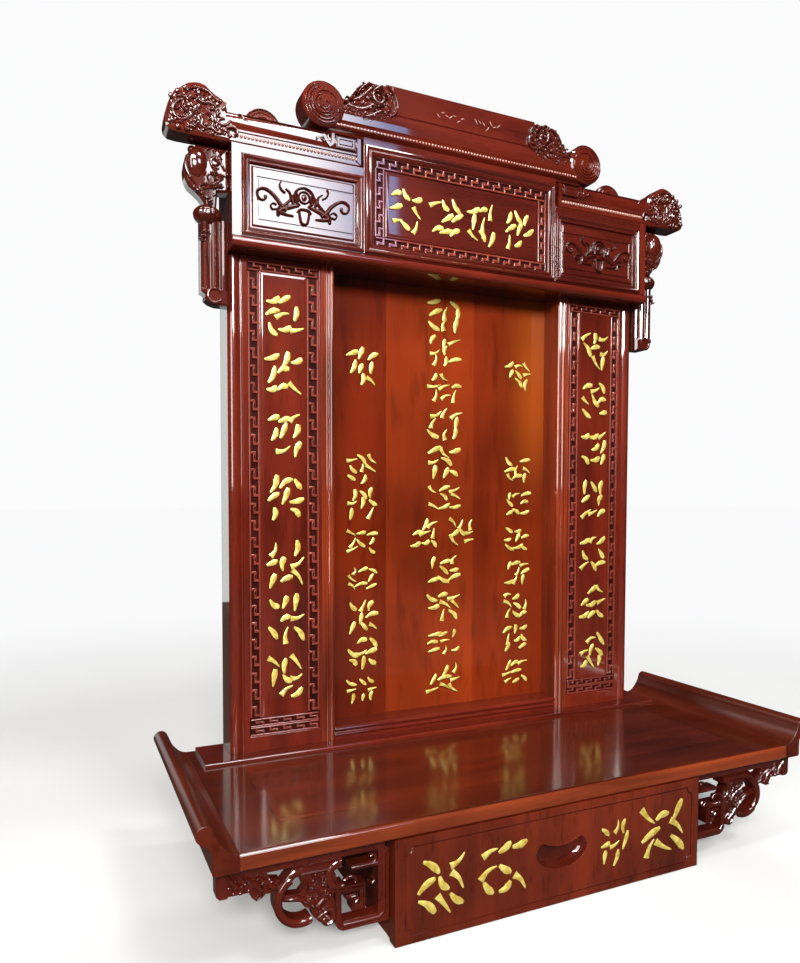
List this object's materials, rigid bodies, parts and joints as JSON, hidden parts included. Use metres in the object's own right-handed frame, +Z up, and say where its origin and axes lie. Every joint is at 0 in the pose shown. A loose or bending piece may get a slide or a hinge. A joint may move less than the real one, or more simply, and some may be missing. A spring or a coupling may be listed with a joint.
{
  "type": "household altar cabinet",
  "caption": "Tall household altar: a table top with turned-up ends on a drawer case, a back board with a deep centre panel, and a carved header and ridge above.",
  "frame": {"origin": "middle of the underside, at the bottom of the drawer case", "axes": "+X to the right as seen from the front, +Y to the back, +Z up"},
  "size_m": [0.88, 0.332, 1.079],
  "materials": {
    "lacquered_wood": "high-gloss dark red lacquer",
    "figured_wood": "high-gloss red-brown lacquer over streaked planks",
    "plain_wood": "satin"
  },
  "bodies": {
    "altar": {"table_top": "lacquered_wood", "end_flange_right": "lacquered_wood", "end_flange_left": "lacquered_wood", "back_plinth": "lacquered_wood", "drawer_case": "lacquered_wood", "bracket_right": "lacquered_wood", "bracket_left": "lacquered_wood", "outer_stile_right": "lacquered_wood", "outer_stile_left": "lacquered_wood", "inner_stile_right": "lacquered_wood", "inner_stile_left": "lacquered_wood", "couplet_panel_right": "lacquered_wood", "couplet_panel_left": "lacquered_wood", "board_rail": "lacquered_wood", "centre_panel": "figured_wood", "board_back": "lacquered_wood", "header_soffit": "lacquered_wood", "header_panel_right": "lacquered_wood", "header_panel_left": "lacquered_wood", "header_panel_centre": "lacquered_wood", "header_end_right": "lacquered_wood", "header_end_left": "lacquered_wood", "header_cheek_right": "lacquered_wood", "header_cheek_left": "lacquered_wood", "header_top_right": "lacquered_wood", "header_top_left": "lacquered_wood", "header_top_centre": "lacquered_wood", "header_back": "lacquered_wood", "ridge_right": "lacquered_wood", "ridge_left": "lacquered_wood", "medallion_right": "lacquered_wood", "medallion_left": "lacquered_wood", "ridge_centre": "lacquered_wood", "hanging_post_right": "lacquered_wood", "hanging_post_left": "lacquered_wood"},
    "drawer": {"drawer_front": "lacquered_wood", "drawer_box": "plain_wood"}
  },
  "joints": [
    {"name": "drawer_slide", "type": "slide", "parent": "altar", "child": "drawer", "axis": [0, -1, 0], "range_m": [0, 0.2]}
  ]
}
